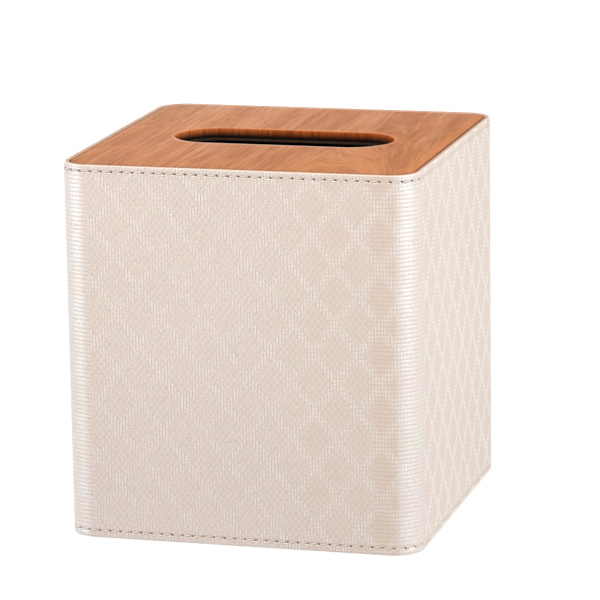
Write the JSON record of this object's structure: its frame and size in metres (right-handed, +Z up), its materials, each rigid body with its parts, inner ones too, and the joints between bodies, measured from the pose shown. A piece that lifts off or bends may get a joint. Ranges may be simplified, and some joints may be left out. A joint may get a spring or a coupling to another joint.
{
  "type": "tissue box cover",
  "caption": "Cube-shaped cover for an upright box of tissues: stitched leatherette sides with rounded corners and a lift-off wooden lid with a round-ended slot.",
  "frame": {"origin": "middle of the footprint, on the surface that the cover stands on", "axes": "+Z up, towards the lid; the front faces -Y; +X to the right, along the slot"},
  "size_m": [0.134, 0.134, 0.1407],
  "materials": {
    "leatherette": "cream, finely embossed with a pearly sheen",
    "backing": "tan-brown, smooth, with burnished edges",
    "thread": "waxed twisted thread",
    "board": "plain plywood",
    "post": "stained black-brown",
    "dowel": "plain beech",
    "pad": "short suede nap",
    "lining": "short suede nap",
    "lid_wood": "oiled, satin",
    "felt": "dense felt"
  },
  "bodies": {
    "box": {"outer_skin": "leatherette", "inner_sleeve": "backing", "top_stitching": "thread", "bottom_stitching": "thread", "front_board": "board", "back_board": "board", "left_board": "board", "right_board": "board", "front_left_post": "post", "front_right_post": "post", "back_left_post": "post", "back_right_post": "post", "base_board": "board", "base_dowels": "dowel", "base_pad": "pad", "floor_lining": "lining", "front_lining": "lining", "back_lining": "lining", "left_lining": "lining", "right_lining": "lining"},
    "lid": {"lid_panel": "lid_wood", "lid_liner": "felt"}
  },
  "joints": [
    {"name": "lid_lift", "type": "slide", "parent": "box", "child": "lid", "axis": [0, 0, 1], "range_m": [0, 0.06]}
  ]
}
